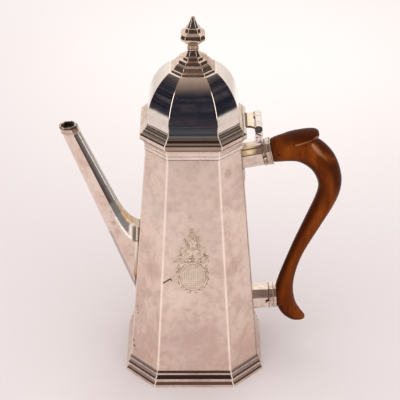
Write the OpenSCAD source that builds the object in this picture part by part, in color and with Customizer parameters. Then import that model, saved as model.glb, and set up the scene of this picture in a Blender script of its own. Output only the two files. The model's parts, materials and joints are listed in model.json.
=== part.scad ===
// Tapering octagonal coffee pot: raised silver body with stepped mouldings,
// straight faceted spout, hinged domed lid with a baluster finial, and an
// S-shaped wooden handle held in two sockets.
// Millimetres. Origin: middle of the foot, on the table.
// +X points to the handle, -X to the spout, +Z up.
// Every octagon here is a square with cut corners: "across" is the distance
// between opposite wide faces, and "share" is wide-face width over "across".

/* [Body] */
// Across the foot
foot_across = 91.5; // [90.5:0.5:97]
// Across the body where it leaves the foot
base_across = 84.6; // [80:0.2:85.6]
// Across the body below the rim moulding
neck_across = 60; // [58:0.2:62]
// Height of the foot moulding
foot_h = 11.5; // [9:0.5:13]
// Height at which the rim moulding starts
neck_z = 166.5; // [160:0.5:168]
// Height of the top of the rim
rim_z = 174.8; // [174:0.1:174.8]
// Across the lip of the rim
rim_across = 65; // [63:0.2:66]
// Thickness of the body's sheet
body_wall_t = 1; // [0.8:0.1:1.2]
// Wide-face share at the foot
foot_share = 0.576; // [0.5:0.002:0.6]
// Wide-face share at the dome
lid_share = 0.528; // [0.5:0.002:0.56]

/* [Spout] */
// Height of the spout's mouth
mouth_z = 174.6; // [168:0.2:178]
// Across the mouth, along X
mouth_across = 10.2; // [9.4:0.1:11]
// Distance from the pot's axis to the middle of the mouth
mouth_reach = 79.2; // [76:0.1:82]
// Height of the spout's toe on the body
toe_z = 52; // [48:1:60]
// Height of the spout's upper junction with the body
throat_z = 101.4; // [98:0.2:106]
// Half width of the spout at the body
root_half_y = 9.6; // [8.6:0.1:10.5]
// Thickness of the spout's wall
spout_wall_t = 0.9; // [0.7:0.1:1]
// Diameter of each strainer hole
strainer_d = 2.2; // [1.8:0.1:2.6]

/* [Lid] */
// Across the lid's lower edge
lid_across = 66.6; // [64:0.2:68]
// Across the dome where it leaves the mouldings
dome_across = 57.6; // [56.5:0.1:58]
// Height at which the dome starts
dome_z = 183.4; // [182.5:0.1:185]
// Rise of the full ellipse that shapes the dome
dome_rise = 37.7; // [36:0.1:39]
// Across the crown plate
crown_across = 27; // [25:0.5:28.5]
// Height of the crown plate's underside
crown_z = 215.4; // [214.6:0.1:216.2]
// Thickness of the lid's sheet
lid_wall_t = 1; // [0.8:0.1:1.2]
// Clearance between the closed lid and the rim
lid_gap = 0.2; // [0.15:0.05:0.4]

/* [Hinge] */
// Distance from the pot's axis to the hinge pin
hinge_x = 40.8; // [40.5:0.1:41.6]
// Height of the hinge pin
hinge_z = 177.2; // [177:0.1:177.8]
// Diameter of the hinge barrel
barrel_d = 5; // [4.6:0.1:5.2]
// Length of the hinge barrel
barrel_l = 21; // [20:0.5:23]
// Length of the middle knuckle
middle_l = 7.4; // [6:0.2:9]
// Diameter of the hinge pin
hinge_pin_d = 1.6; // [1.4:0.1:1.8]
// Radial clearance of the turning knuckles
hinge_fit = 0.05; // [0.02:0.01:0.1]

/* [Handle] */
// Rise of the upper socket away from the body, in degrees
socket_tilt = 12; // [8:1:14]
// Across the upper socket at the body
upper_across = 14.4; // [13.4:0.2:14.8]
// Across the upper socket at its collar
upper_end_across = 14.8; // [14:0.2:15.2]
// Across the lower socket
lower_across = 14.8; // [14:0.2:15.4]
// Diameter of the pins through the sockets
socket_pin_d = 2.4; // [2:0.1:2.8]

/* [Hidden] */

$fn = 48;
far = 400;                       // longer than anything in the pot
regular = tan(22.5);             // share of a regular octagon

silver = [0.80, 0.73, 0.68];
silver_bright = [0.86, 0.80, 0.76];
silver_dark = [0.45, 0.42, 0.42];
fruitwood = [0.45, 0.22, 0.08];

// ---------------------------------------------------------------- helpers

function mix(a, b, t) = a + (b - a)*t;

// Octagon of half sizes hx, hy. The faces across x keep share_y of its width,
// and those across y keep share_x of it
function octagon(hx, hy, share_x, share_y) =
    let (ax = hx*share_x, ay = hy*share_y)
    [[hx, -ay], [hx, ay], [ax, hy], [-ax, hy],
     [-hx, ay], [-hx, -ay], [-ax, -hy], [ax, -hy]];

// Wide-face share at a height, from the foot's to the dome's
function share_at(z) = mix(foot_share, lid_share, min(z/dome_z, 1));

// Ring of 2D points p laid in the plane of the unit vectors u and v
function laid(p, c, u, v) = [for (q = p) c + q[0]*u + q[1]*v];

// Point and path of a Catmull-Rom curve through p, n steps between points
function curve_at(a, b, c, d, t) =
    0.5*(2*b + (c - a)*t + (2*a - 5*b + 4*c - d)*t*t
         + (3*b - a - 3*c + d)*t*t*t);
function curve(p, n) =
    [for (i = [0:len(p) - 2], j = [0:n - 1])
        curve_at(p[max(i - 1, 0)], p[i], p[i + 1],
                 p[min(i + 2, len(p) - 1)], j/n),
     p[len(p) - 1]];

// Closed skin over rings that each hold the same number of points
module skin(rings) {
    n = len(rings[0]);
    last = len(rings) - 1;
    points = [for (r = rings) each r];
    sides = [for (i = [0:last - 1], j = [0:n - 1])
        let (k = (j + 1) % n)
        each [[i*n + j, i*n + n + j, i*n + n + k],
              [i*n + j, i*n + n + k, i*n + k]]];
    foot = [for (j = [0:n - 1]) j];
    head = [for (j = [n - 1:-1:0]) last*n + j];
    polyhedron(points, concat([foot], sides, [head]), convexity = 6);
}

// Upright octagonal solid over levels of [height, across], or of
// [height, across, share] where the share isn't the one for that height
module tower(levels) {
    skin([for (l = levels)
        let (share = len(l) == 3 ? l[2] : share_at(l[0]))
        laid(octagon(l[1]/2, l[1]/2, share, share),
             [0, 0, l[0]], [1, 0, 0], [0, 1, 0])]);
}

// Levels of a moulding between two heights and two sizes, from a profile of
// [share of the rise, share of the change in size]
function moulded(profile, z0, z1, across0, across1) =
    [for (p = profile) [mix(z0, z1, p[0]), mix(across0, across1, p[1])]];

module along_y(d, l) {
    rotate([90, 0, 0]) cylinder(d = d, h = l, center = true);
}

// ------------------------------------------------------------------- body

body_slope = (base_across - neck_across)/(neck_z - foot_h);
function body_across(z) = base_across - (z - foot_h)*body_slope;

wall_foot_z = 1.6;               // the wall stands this far above the table
floor_z = 3.2;                   // top of the base plate
floor_t = 1;

// The body's outline at a height, made smaller all round by inset. It changes
// evenly from table to rim, so its eight faces are flat at any pair of heights
function body_outline(z, inset) =
    let (low = body_across(0)/2 - inset, high = body_across(rim_z)/2 - inset)
    mix(octagon(low, low, share_at(0), share_at(0)),
        octagon(high, high, share_at(rim_z), share_at(rim_z)), z/rim_z);

module body_mass(z0, z1, inset = 0) {
    skin([for (z = [z0, z1])
        laid(body_outline(z, inset), [0, 0, z], [1, 0, 0], [0, 1, 0])]);
}

strainer_rows = 5;
strainer_pitch = 6;
strainer_gap = 4.6;              // between neighbouring holes of a row
strainer_z = 66;                 // lowest row of holes

module strainer_holes() {
    for (row = [0:strainer_rows - 1], col = [-1:1]) {
        shift = row % 2 == 0 ? 0 : 0.5;
        y = (col + shift)*strainer_gap;
        if (col + shift <= 1)
            translate([-body_across(strainer_z)/2, y,
                       strainer_z + row*strainer_pitch])
                rotate([0, 90, 0])
                    cylinder(d = strainer_d, h = 12, center = true);
    }
}

module body_wall() {
    color(silver) difference() {
        body_mass(wall_foot_z, rim_z);
        body_mass(-1, rim_z + 1, body_wall_t);
        strainer_holes();
    }
}

module base_plate() {
    color(silver) body_mass(floor_z - floor_t, floor_z, body_wall_t);
}

// Plinth, then chamfer and fascia twice, and a chamfer up to the body's face
foot_profile = [[0, 0], [0.183, 0], [0.313, 0.39], [0.53, 0.35],
                [0.73, 0.74], [0.878, 0.7], [1, 0.96]];

module foot_moulding() {
    color(silver_bright) difference() {
        tower(moulded(foot_profile, 0, foot_h, foot_across, base_across));
        body_mass(wall_foot_z, foot_h + 1);
        body_mass(-1, wall_foot_z + 0.01, body_wall_t);
    }
}

// Flat band with a low step, then a cavetto that flares to the lip
module rim_moulding() {
    levels = [[neck_z, neck_across + 0.2], [neck_z + 0.4, neck_across + 1.1],
              [neck_z + 2.8, neck_across + 1.1],
              [neck_z + 3.1, neck_across + 0.8],
              [neck_z + 4.4, neck_across + 1.1],
              [neck_z + 5.7, neck_across + 1.9],
              [neck_z + 7, mix(neck_across, rim_across, 0.65)],
              [rim_z - 0.5, rim_across - 0.2], [rim_z, rim_across]];
    color(silver_bright) difference() {
        tower(levels);
        body_mass(neck_z - 1, rim_z + 1);
    }
}

// ------------------------------------------------------------------ spout

mouth_rise = 1;                  // the mouth's inner edge is this much higher
spout_straight_z = 119;          // the flare to the body starts here
straight_reach = 56.9;           // middle of the spout at that height
straight_across = 14;
spout_flat = 0.93;               // width along Y over width along X

mouth_low = [-mouth_reach - mouth_across/2, mouth_z];
mouth_high = [-mouth_reach + mouth_across/2, mouth_z + mouth_rise];
bend_low = [-straight_reach - straight_across/2, spout_straight_z];
bend_high = [-straight_reach + straight_across/2, spout_straight_z];
low_run = (bend_low - mouth_low)/(mouth_low[1] - spout_straight_z);
high_run = (bend_high - mouth_high)/(mouth_high[1] - spout_straight_z);
toe = bend_low + low_run*(spout_straight_z - toe_z);
throat = [1 - body_across(throat_z)/2, throat_z];
throat_bend = bend_high + high_run*(spout_straight_z - throat_z - 1);

// Middle line of the upper edge as it flares into the body
function flare(t) = (1 - t)*(1 - t)*bend_high + 2*t*(1 - t)*throat_bend
                    + t*t*throat;

// One octagonal ring between a lower and an upper point of the side view
function spout_ring(low, high, half_y, inset, share = regular) =
    let (mid = (low + high)/2, half = norm(high - low)/2,
         u = (high - low)/norm(high - low))
    laid(octagon(half - inset, half_y - inset, share, regular),
         [mid[0], 0, mid[1]], [u[0], 0, u[1]], [0, 1, 0]);

root_share = 0.6;                // the flare's corners stay narrow
flare_steps = 10;
straight_half_y = straight_across/2*spout_flat;
mouth_half_y = mouth_across/2*spout_flat;

module spout_mass(inset, root_extra, mouth_extra) {
    root = [root_extra, 0];
    skin(concat(
        root_extra == 0 ? [] :
            [spout_ring(toe + root, throat + root, root_half_y, inset,
                        root_share)],
        [for (i = [flare_steps:-1:1])
            let (t = i/flare_steps)
            spout_ring(mix(bend_low, toe, t), flare(t),
                       mix(straight_half_y, root_half_y, t), inset,
                       mix(regular, root_share, t))],
        [spout_ring(bend_low, bend_high, straight_half_y, inset),
         spout_ring(mouth_low - low_run*mouth_extra,
                    mouth_high - high_run*mouth_extra,
                    mouth_half_y, inset)]));
}

module spout() {
    color(silver) difference() {
        spout_mass(0, 0, 0);
        spout_mass(spout_wall_t, 6, 2);
        body_mass(0, rim_z);
    }
}

// Band round the mouth
lip_h = 4.8;
lip_t = 0.45;

module spout_lip() {
    low = mouth_low + low_run*lip_h;
    high = mouth_high + high_run*lip_h;
    step_low = mouth_low + low_run*(lip_h - 1.2);
    step_high = mouth_high + high_run*(lip_h - 1.2);
    color(silver_bright) difference() {
        skin([spout_ring(low, high, mouth_half_y*1.04, -lip_t),
              spout_ring(step_low, step_high, mouth_half_y*1.03, -lip_t),
              spout_ring(step_low, step_high + [0, 0.4],
                         mouth_half_y*1.03, -lip_t*0.6),
              spout_ring(mouth_low + low_run*0.6, mouth_high + high_run*0.6,
                         mouth_half_y, -lip_t*0.6),
              spout_ring(mouth_low, mouth_high, mouth_half_y, -lip_t*0.5)]);
        spout_mass(0, 0, 2);
    }
}

// ---------------------------------------------------------------- sockets

upper_end = [50.05, 0, 156.2];   // middle of the joint with the wood
lower_end = [55.5, 0, 43];
lower_tilt = 3;
upper_collar_l = 6;
lower_collar_l = 5.2;
socket_share = 0.5;
socket_wall_t = 0.9;
socket_clear = 60;               // across anything near a socket
upper_rib = 1.1;                 // the collar is this much wider than its socket

function out_of(tilt) = [cos(tilt), 0, sin(tilt)];
function across_of(tilt) = [-sin(tilt), 0, cos(tilt)];

// Octagonal bar over levels of [distance before the end, across]
module bar(end, tilt, levels) {
    skin([for (l = levels)
        laid(octagon(l[1]/2, l[1]/2, socket_share, socket_share),
             end - l[0]*out_of(tilt), [0, 1, 0], across_of(tilt))]);
}

module upper_core(extra) {
    bar(upper_end, socket_tilt,
        [[24, upper_across - 0.2 + 2*extra], [20, upper_across + 2*extra],
         [0, upper_end_across + 2*extra]]);
}

module lower_core(extra) {
    bar(lower_end, lower_tilt,
        [[24, lower_across + 0.6 + 2*extra], [0, lower_across + 2*extra]]);
}

module upper_socket() {
    color(silver) difference() {
        upper_core(0);
        upper_core(-socket_wall_t);
        body_mass(0, rim_z);
        collar_space(upper_end, socket_tilt, upper_collar_l, socket_clear);
        upper_pin_hole();
    }
}

module lower_socket() {
    color(silver) difference() {
        lower_core(0);
        lower_core(-socket_wall_t);
        body_mass(0, rim_z);
        collar_space(lower_end, lower_tilt, lower_collar_l, socket_clear);
        lower_pin_hole();
    }
}

// Everything past the start of a collar, as far out as across
module collar_space(end, tilt, l, across) {
    bar(end, tilt, [[l, across], [-40, across]]);
}

module upper_collar() {
    w = upper_end_across;
    l = upper_collar_l;
    color(silver_bright) difference() {
        bar(upper_end, socket_tilt,
            [[l, w + 0.4], [l - 0.4, w + 1], [l - 1.2, w + 1],
             [l - 1.6, w + 0.1], [l - 2.6, w + 0.1], [l - 3.2, w + 0.7],
             [l - 4.2, w + 0.8], [0.9, w + 0.8], [0.5, w + upper_rib],
             [0, w + upper_rib]]);
        upper_tenon();
        upper_pin_hole();
    }
}

module lower_collar() {
    w = lower_across;
    l = lower_collar_l;
    color(silver_bright) difference() {
        bar(lower_end, lower_tilt,
            [[l, w + 0.5], [l - 0.4, w + 1.1], [l - 1.1, w + 1.1],
             [l - 1.5, w + 0.3], [l - 3, w + 0.3], [l - 3.5, w + 0.9],
             [0, w + 0.9]]);
        lower_tenon();
        lower_pin_hole();
        grip();
    }
}

// Teardrop applied to the body under the upper socket
drop_z = 140;
drop_h = 17;
drop_w = 7;
drop_t = 3.6;
drop_sink = 0.4;                 // its middle lies this deep in the body

module upper_drop() {
    color(silver_bright) difference() {
        translate([body_across(drop_z)/2 - drop_sink, 0, drop_z])
            rotate([0, -atan(body_slope/2), 0])
                resize([drop_t, drop_w, drop_h]) sphere(d = 10, $fn = 24);
        body_mass(0, rim_z);
        upper_core(0);
    }
}

// ------------------------------------------------------------ socket pins

upper_pin_at = [45.2, 0, 155.4];
lower_pin_at = [49.7, 0, 43];
pin_proud = 0.85;                // how far each end stands out of its socket

module upper_pin_hole() {
    translate(upper_pin_at) along_y(socket_pin_d, 60);
}

module lower_pin_hole() {
    translate(lower_pin_at) along_y(socket_pin_d, 60);
}

module socket_pin(at, l) {
    color(silver_dark) translate(at) along_y(socket_pin_d, l);
}

module upper_handle_pin()
    socket_pin(upper_pin_at, upper_end_across + 2*pin_proud);

module lower_handle_pin()
    socket_pin(lower_pin_at, lower_across + 2*pin_proud);

// ----------------------------------------------------------------- handle

// Middle line of the wooden grip and its thickness: [x, z, thickness]
grip_line = [[upper_end[0], upper_end[2], 15.4], [54.5, 157.6, 17.2],
             [60, 158.8, 18.5], [66.4, 159, 19.2], [72.4, 157.2, 19.4], [78, 153.4, 18.9],
             [82.7, 148.1, 18], [86.1, 141, 16.7], [87.9, 133.2, 15.5],
             [87.3, 125.8, 14.4], [84.5, 117.2, 13.5], [80.3, 107.4, 12.4],
             [75.8, 97.2, 11.3], [71.2, 86.6, 10.1], [67.7, 77.6, 9.4],
             [64.5, 67.6, 9.6], [62, 57.5, 10.8], [60.8, 48.7, 12.4],
             [61.4, 41, 13], [64.1, 33, 12.3], [68.4, 28, 10.3],
             [72.2, 25.8, 7.2], [74.6, 25.1, 4.4], [75.7, 25, 2]];
grip_steps = 3;
grip_sides = 20;

// Ring round a point of the grip, facing along the way to the next one
function grip_ring(p, way) =
    let (t = way/norm(way))
    laid([for (a = [0:360/grip_sides:359]) p[2]/2*[cos(a), sin(a)]],
         [p[0], 0, p[1]], [t[1], 0, -t[0]], [0, 1, 0]);

module grip() {
    p = curve(grip_line, grip_steps);
    n = len(p) - 1;
    flat = [for (q = p) [q[0], q[1]]];
    skin([for (i = [0:n])
        grip_ring(p[i], i == 0 ? [cos(socket_tilt), sin(socket_tilt)]
                               : flat[min(i + 1, n)] - flat[i - 1])]);
}

// Carved leaf along the top of the grip: [x, crown z, half width, depth]
leaf_line = [[51, 162.8, 4.5, 4], [54, 165.4, 6, 5],
             [60, 168.2, 7, 6], [67, 170, 7.2, 6.5],
             [73, 170.8, 7, 5.6], [76.8, 170.8, 6.2, 4.4],
             [78.8, 170.2, 4.8, 3], [79.7, 169.3, 2.4, 1.4]];

function leaf_ring(p) =
    laid([for (a = [0:360/grip_sides:359]) [p[2]*cos(a), p[3]/2*sin(a)]],
         [p[0], 0, p[1] - p[3]/2], [0, 1, 0], [0, 0, 1]);

module leaf() {
    skin([for (p = curve(leaf_line, grip_steps)) leaf_ring(p)]);
}

tenon_d = 11;

module upper_tenon() {
    translate(upper_end + 3*out_of(socket_tilt))
        rotate([0, -90 - socket_tilt, 0]) cylinder(d = tenon_d, h = 16);
}

module lower_tenon() {
    translate(lower_end + 3*out_of(lower_tilt))
        rotate([0, -90 - lower_tilt, 0]) cylinder(d = tenon_d, h = 16);
}

// Shoulder of the grip that meets the lower collar
module lower_shoulder() {
    bar(lower_end, lower_tilt,
        [[0, lower_across + 0.2], [-2, lower_across - 1.2],
         [-6, lower_across - 4]]);
}

module handle() {
    color(fruitwood) difference() {
        union() {
            grip();
            leaf();
            lower_shoulder();
            upper_tenon();
            lower_tenon();
        }
        upper_pin_hole();
        lower_pin_hole();
    }
}

// ------------------------------------------------------------------ hinge

bracket_half_y = 3.3;
// Outline of the post and the middle of its scroll, both from the pin's axis
post_line = [[-1.6, -1], [1.6, -1], [1.6, -2.4], [2.3, -5], [2.3, -9],
             [2.1, -11.6], [2.3, -12.8], [3.3, -13.4], [3.3, -19],
             [-2.1, -19], [-2.1, -13.4], [-1.1, -12.8], [-0.9, -11.6],
             [-1.2, -9], [-1.6, -5]];
volute_at = [0.5, 0, -8.3];
volute_d = 5;
knuckle_play = 0.12;             // gap between neighbouring knuckles

module at_hinge() {
    translate([hinge_x, 0, hinge_z]) children();
}

// Post with a scroll, a neck and a stepped foot on the upper socket
module hinge_bracket() {
    color(silver_bright) difference() {
        at_hinge() {
            rotate([90, 0, 0])
                linear_extrude(height = 2*bracket_half_y, center = true)
                    polygon(post_line);
            translate(volute_at) along_y(volute_d, 2*bracket_half_y + 0.6);
        }
        at_hinge() along_y(barrel_d, far);
        upper_core(0);
        collar_space(upper_end, socket_tilt, upper_collar_l,
                     upper_end_across + upper_rib);
    }
}

module bracket_knuckle() {
    color(silver_bright) at_hinge() difference() {
        along_y(barrel_d, middle_l);
        along_y(hinge_pin_d, far);
    }
}

module hinge_pin() {
    color(silver_dark) at_hinge() along_y(hinge_pin_d, barrel_l - 0.4);
}

outer_l = (barrel_l - middle_l)/2 - knuckle_play;

module outer_knuckle(side) {
    color(silver_bright) at_hinge()
        translate([0, side*(barrel_l - outer_l)/2, 0]) difference() {
            along_y(barrel_d, outer_l);
            along_y(hinge_pin_d + 2*hinge_fit, far);
        }
}

module near_knuckle() outer_knuckle(-1);

module far_knuckle() outer_knuckle(1);

flange_t = 1.5;
flange_low_z = 177.4;
flange_root_x = 28;              // inside the lid's moulding
waist = 2.2;                     // depth of the waist on each side
waist_r = 4.4;
notch_play = 0.6;                // gap between the plate and the middle knuckle

module hinge_flange() {
    notch_x = hinge_x - barrel_d/2 - notch_play;
    waist_x = mix(lid_across/2, hinge_x - barrel_d/2, 0.3);
    color(silver_bright) difference() {
        translate([flange_root_x, -barrel_l/2, flange_low_z])
            cube([hinge_x - flange_root_x, barrel_l, flange_t]);
        tower(lid_levels);
        at_hinge() along_y(barrel_d, far);
        translate([notch_x, -middle_l/2 - knuckle_play, flange_low_z - 1])
            cube([20, middle_l + 2*knuckle_play, flange_t + 2]);
        for (side = [-1, 1])
            translate([waist_x, side*(barrel_l/2 - waist + waist_r),
                       flange_low_z - 1])
                cylinder(r = waist_r, h = flange_t + 2, $fn = 96);
    }
}

// -------------------------------------------------------------------- lid

lid_z = rim_z + lid_gap;
bezel_across = 54.8;
bezel_low_z = lid_z - 5.5;
bezel_high_z = lid_z + 4;
bezel_t = 0.9;

// Edge band, then chamfers, fascias and a slope up to the dome
lid_profile = [[0, 0], [0.333, 0.011], [0.43, 0.09], [0.506, 0.378],
               [0.696, 0.556], [0.738, 0.711], [0.798, 0.756],
               [0.911, 0.944], [0.964, 0.978], [1, 1]];
lid_levels = moulded(lid_profile, lid_z, dome_z, lid_across, dome_across);

function bezel_levels(z0, z1, inset) =
    [[z0, bezel_across - 2*inset], [z1, bezel_across - 2*inset]];

module lid_bezel() {
    color(silver) difference() {
        tower(bezel_levels(bezel_low_z, bezel_high_z, 0));
        tower(bezel_levels(bezel_low_z - 1, bezel_high_z + 1, bezel_t));
    }
}

module lid_moulding() {
    color(silver_bright) difference() {
        tower(lid_levels);
        tower(bezel_levels(lid_z - 1, dome_z + 1, 0));
    }
}

dome_steps = 22;
dome_top_z = crown_z + 0.6;

// Half height of the ellipse gives the dome's outline
function dome_half(z, inset) =
    (dome_across/2 - inset)
    *sqrt(1 - pow((z - dome_z)/(dome_rise - inset), 2));

module dome_mass(z0, z1, inset) {
    tower(concat(z0 < dome_z ? [[z0, dome_across - 2*inset]] : [],
        [for (i = [0:dome_steps])
            let (z = mix(dome_z, z1, sin(90*i/dome_steps)))
            [z, 2*dome_half(z, inset)]]));
}

module lid_dome() {
    color(silver_bright) difference() {
        dome_mass(dome_z, dome_top_z, 0);
        dome_mass(dome_z - 1, dome_top_z - lid_wall_t, lid_wall_t);
        cylinder(d = tang_d, h = far);
    }
}

tang_d = 3;

// Chamfered edge and two steps up to the finial
crown_profile = [[0, 0], [0.17, 0], [0.32, 0.13], [0.36, 0.333],
                 [0.66, 0.62], [0.79, 0.69], [1, 1]];

module crown_plate() {
    color(silver_bright) difference() {
        tower(moulded(crown_profile, crown_z, finial_z, crown_across,
                      finial_seat));
        dome_mass(dome_z, dome_top_z, 0);
        cylinder(d = tang_d, h = far);
    }
}

// Baluster: stepped base, waist, ring, urn, shoulder, spire and tip
finial_z = crown_z + 5.3;
finial_seat = 18.6;              // across the crown plate's top
finial_levels = [[0, 17.8, 0.51], [0.2, 17.8, 0.51], [1.8, 16.6, 0.51],
                 [1.9, 12.6, 0.52], [3.2, 11.5, 0.53], [3.5, 10, 0.54],
                 [4.2, 8.4, 0.55], [5.3, 7.2, 0.56], [7.4, 5.9, 0.56],
                 [7.9, 7, 0.55], [8.4, 7, 0.55], [8.7, 6.1, 0.55],
                 [10.6, 6.3, 0.55], [11.3, 7.4, 0.58], [13.2, 11.4, 0.62],
                 [15.4, 14.9, 0.64], [16.5, 15.1, 0.65], [18.6, 13.8, 0.65],
                 [19.8, 9.6, 0.62], [22.1, 8.4, 0.6], [22.4, 7, 0.58],
                 [23.6, 5.6, 0.56], [25.3, 4.4, 0.55], [26.5, 3.6, 0.55],
                 [26.8, 3, 0.55], [28, 2.5, 0.55], [29, 2, 0.55],
                 [29.3, 1.2, 0.55]];
nut_h = 2;
tang_start_z = dome_top_z - lid_wall_t - nut_h - 0.4;

module finial() {
    color(silver_dark) {
        tower([for (l = finial_levels) [finial_z + l[0], l[1], l[2]]]);
        translate([0, 0, tang_start_z])
            cylinder(d = tang_d, h = finial_z - tang_start_z + 0.5);
    }
}

module finial_nut() {
    color(silver) difference() {
        translate([0, 0, dome_top_z - lid_wall_t - nut_h])
            cylinder(d = 8, h = nut_h, $fn = 6);
        cylinder(d = tang_d, h = far);
    }
}

// --------------------------------------------------------------- assembly

body_wall();
base_plate();
foot_moulding();
rim_moulding();
spout();
spout_lip();
upper_socket();
upper_collar();
upper_drop();
lower_socket();
lower_collar();
upper_handle_pin();
lower_handle_pin();
handle();
hinge_bracket();
bracket_knuckle();
hinge_pin();
hinge_flange();
near_knuckle();
far_knuckle();
lid_bezel();
lid_moulding();
lid_dome();
crown_plate();
finial();
finial_nut();
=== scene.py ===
"""An octagonal silver coffee pot with a fruitwood handle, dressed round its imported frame.

Metres throughout. The pot stands on the floor at the origin, its spout towards -X,
its handle towards +X, and its front face towards -Y.
"""

import json
import math
from collections import namedtuple

import bmesh
import bpy
from mathutils import Matrix, Vector


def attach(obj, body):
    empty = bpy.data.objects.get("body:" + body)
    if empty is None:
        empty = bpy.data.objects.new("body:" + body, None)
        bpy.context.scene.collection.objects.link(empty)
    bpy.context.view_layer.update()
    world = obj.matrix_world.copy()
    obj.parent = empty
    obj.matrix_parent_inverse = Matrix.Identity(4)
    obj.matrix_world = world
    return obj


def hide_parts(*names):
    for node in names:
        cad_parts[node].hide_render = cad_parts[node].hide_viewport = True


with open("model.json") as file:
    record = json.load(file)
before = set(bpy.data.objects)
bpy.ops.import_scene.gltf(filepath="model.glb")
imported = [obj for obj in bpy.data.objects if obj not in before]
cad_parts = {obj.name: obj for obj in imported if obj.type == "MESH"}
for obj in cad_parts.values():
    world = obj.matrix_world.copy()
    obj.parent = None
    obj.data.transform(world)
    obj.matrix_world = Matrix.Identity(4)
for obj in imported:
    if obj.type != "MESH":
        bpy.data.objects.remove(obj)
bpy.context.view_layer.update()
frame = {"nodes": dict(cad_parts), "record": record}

MM = 0.001

record = frame["record"]
BODY_OF = {n: body for body, nodes in record["behaviour"]["bodies"].items() for n in nodes}

FOOT_SHARE = 0.576               # wide-face share of the octagon at the foot
LID_SHARE = 0.528                # and from the dome up
LID_Z = 183.4 * MM
SPOUT_X = -56.9                  # the spout's axis below its bend, in mm
SPOUT_BEND = 119                 # the bend's height, in mm
SPOUT_LEAN = 0.401               # and how far the axis leans for each mm above it


# ------------------------------------------------------------------ shader sums


class Wire:
    """A number socket of a material, so that shader sums read as arithmetic."""

    def __init__(self, paint, socket):
        self.paint = paint
        self.socket = socket

    def __add__(self, other):
        return self.paint.sum("ADD", self, other)

    def __radd__(self, other):
        return self.paint.sum("ADD", other, self)

    def __sub__(self, other):
        return self.paint.sum("SUBTRACT", self, other)

    def __rsub__(self, other):
        return self.paint.sum("SUBTRACT", other, self)

    def __mul__(self, other):
        return self.paint.sum("MULTIPLY", self, other)

    def __rmul__(self, other):
        return self.paint.sum("MULTIPLY", other, self)

    def __truediv__(self, other):
        return self.paint.sum("DIVIDE", self, other)

    def __rtruediv__(self, other):
        return self.paint.sum("DIVIDE", other, self)

    def __pow__(self, other):
        return self.paint.sum("POWER", self, other)

    def __rpow__(self, other):
        return self.paint.sum("POWER", other, self)

    def __abs__(self):
        return self.paint.sum("ABSOLUTE", self)


def flat_length(across, up):
    """The length of a flat offset that two wires give."""
    return (across * across + up * up) ** 0.5


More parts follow.
